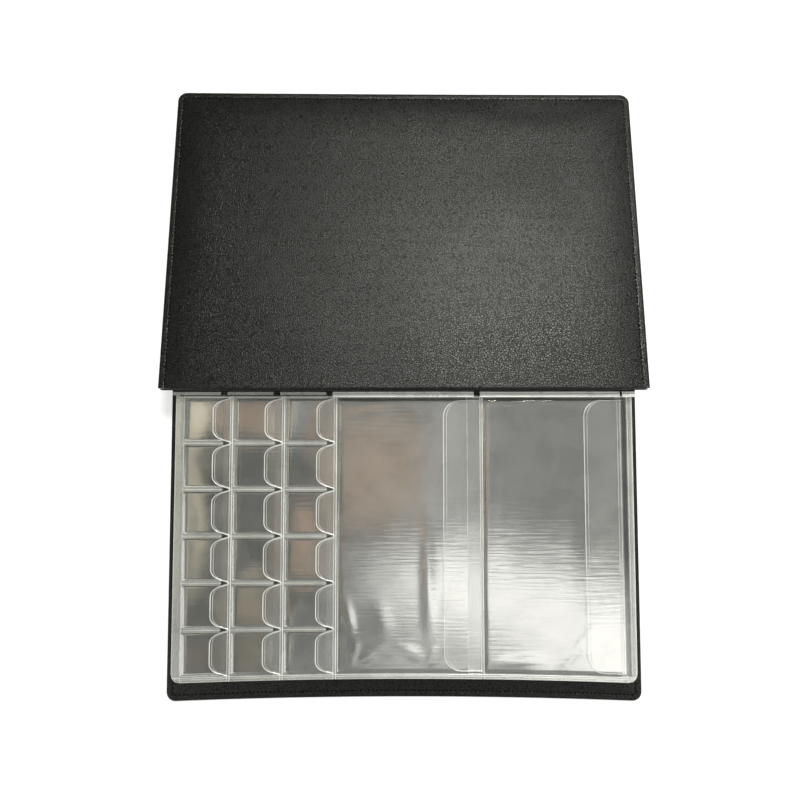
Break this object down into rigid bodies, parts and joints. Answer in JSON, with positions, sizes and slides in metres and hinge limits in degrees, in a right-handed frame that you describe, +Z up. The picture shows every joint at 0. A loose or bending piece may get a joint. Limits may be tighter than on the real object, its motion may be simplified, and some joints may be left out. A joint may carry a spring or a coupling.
{
  "type": "coin collection album",
  "caption": "Soft-covered coin and banknote album lying open, with a folding spine and turning clear pocket leaves.",
  "frame": {"origin": "middle of the flat underside of the back cover, on the table", "axes": "+Y from the back cover across the spine to the open front cover, +Z up, X along the spine"},
  "size_m": [0.278, 0.3664, 0.0285],
  "materials": {
    "outer_skin": "black pebbled imitation leather",
    "lining": "black pebbled imitation leather, soft sheen",
    "board": "grey board",
    "thread": "black sewing thread",
    "vinyl_film": "clear glossy soft vinyl",
    "binding": "black imitation leather strip"
  },
  "bodies": {
    "back_cover": {"back_cover_outer_skin": "outer_skin", "back_cover_board": "board", "back_cover_lining": "lining", "back_cover_stitching": "thread", "binding_strip": "binding"},
    "spine": {"spine_outer_skin": "outer_skin", "spine_board": "board", "spine_lining": "lining"},
    "front_cover": {"front_cover_outer_skin": "outer_skin", "front_cover_board": "board", "front_cover_lining": "lining", "front_cover_stitching": "thread"},
    "leaf_01": {"leaf_01_back_sheet": "vinyl_film", "leaf_01_coin_film": "vinyl_film", "leaf_01_note_film": "vinyl_film", "leaf_01_hinge_strip": "vinyl_film"},
    "leaf_02": {"leaf_02_back_sheet": "vinyl_film", "leaf_02_coin_film": "vinyl_film", "leaf_02_note_film": "vinyl_film", "leaf_02_hinge_strip": "vinyl_film"},
    "leaf_03": {"leaf_03_back_sheet": "vinyl_film", "leaf_03_coin_film": "vinyl_film", "leaf_03_note_film": "vinyl_film", "leaf_03_hinge_strip": "vinyl_film"},
    "leaf_04": {"leaf_04_back_sheet": "vinyl_film", "leaf_04_coin_film": "vinyl_film", "leaf_04_note_film": "vinyl_film", "leaf_04_hinge_strip": "vinyl_film"},
    "leaf_05": {"leaf_05_back_sheet": "vinyl_film", "leaf_05_coin_film": "vinyl_film", "leaf_05_note_film": "vinyl_film", "leaf_05_hinge_strip": "vinyl_film"},
    "leaf_06": {"leaf_06_back_sheet": "vinyl_film", "leaf_06_coin_film": "vinyl_film", "leaf_06_note_film": "vinyl_film", "leaf_06_hinge_strip": "vinyl_film"},
    "leaf_07": {"leaf_07_back_sheet": "vinyl_film", "leaf_07_coin_film": "vinyl_film", "leaf_07_note_film": "vinyl_film", "leaf_07_hinge_strip": "vinyl_film"},
    "leaf_08": {"leaf_08_back_sheet": "vinyl_film", "leaf_08_coin_film": "vinyl_film", "leaf_08_note_film": "vinyl_film", "leaf_08_hinge_strip": "vinyl_film"},
    "leaf_09": {"leaf_09_back_sheet": "vinyl_film", "leaf_09_coin_film": "vinyl_film", "leaf_09_note_film": "vinyl_film", "leaf_09_hinge_strip": "vinyl_film"},
    "leaf_10": {"leaf_10_back_sheet": "vinyl_film", "leaf_10_coin_film": "vinyl_film", "leaf_10_note_film": "vinyl_film", "leaf_10_hinge_strip": "vinyl_film"}
  },
  "joints": [
    {"name": "front_cover_fold", "type": "hinge", "parent": "spine", "child": "front_cover", "pos_m": [0, 0.0903, 0.0268], "axis": [-1, 0, 0], "range_deg": [-198.5, 0]},
    {"name": "spine_fold", "type": "hinge", "parent": "back_cover", "child": "spine", "pos_m": [0, 0.0943, 0.0017], "axis": [-1, 0, 0], "range_deg": [0, 9.06]},
    {"name": "leaf_10_turn", "type": "hinge", "parent": "back_cover", "child": "leaf_10", "pos_m": [0, 0.0864, 0.02265], "axis": [-1, 0, 0], "range_deg": [0, 180]},
    {"name": "leaf_09_turn", "type": "hinge", "parent": "leaf_10", "child": "leaf_09", "pos_m": [0, 0.0864, 0.02265], "axis": [-1, 0, 0], "range_deg": [0, 180]},
    {"name": "leaf_08_turn", "type": "hinge", "parent": "leaf_09", "child": "leaf_08", "pos_m": [0, 0.0864, 0.02265], "axis": [-1, 0, 0], "range_deg": [0, 180]},
    {"name": "leaf_07_turn", "type": "hinge", "parent": "leaf_08", "child": "leaf_07", "pos_m": [0, 0.0864, 0.02265], "axis": [-1, 0, 0], "range_deg": [0, 180]},
    {"name": "leaf_06_turn", "type": "hinge", "parent": "leaf_07", "child": "leaf_06", "pos_m": [0, 0.0864, 0.02265], "axis": [-1, 0, 0], "range_deg": [0, 180]},
    {"name": "leaf_05_turn", "type": "hinge", "parent": "leaf_06", "child": "leaf_05", "pos_m": [0, 0.0864, 0.02265], "axis": [-1, 0, 0], "range_deg": [0, 180]},
    {"name": "leaf_04_turn", "type": "hinge", "parent": "leaf_05", "child": "leaf_04", "pos_m": [0, 0.0864, 0.02265], "axis": [-1, 0, 0], "range_deg": [0, 180]},
    {"name": "leaf_03_turn", "type": "hinge", "parent": "leaf_04", "child": "leaf_03", "pos_m": [0, 0.0864, 0.02265], "axis": [-1, 0, 0], "range_deg": [0, 180]},
    {"name": "leaf_02_turn", "type": "hinge", "parent": "leaf_03", "child": "leaf_02", "pos_m": [0, 0.0864, 0.02265], "axis": [-1, 0, 0], "range_deg": [0, 180]},
    {"name": "leaf_01_turn", "type": "hinge", "parent": "leaf_02", "child": "leaf_01", "pos_m": [0, 0.0864, 0.02265], "axis": [-1, 0, 0], "range_deg": [0, 180]}
  ],
  "couplings": [
    {"joint": "spine_fold", "follows": "front_cover_fold", "ratio": -0.045615}
  ]
}
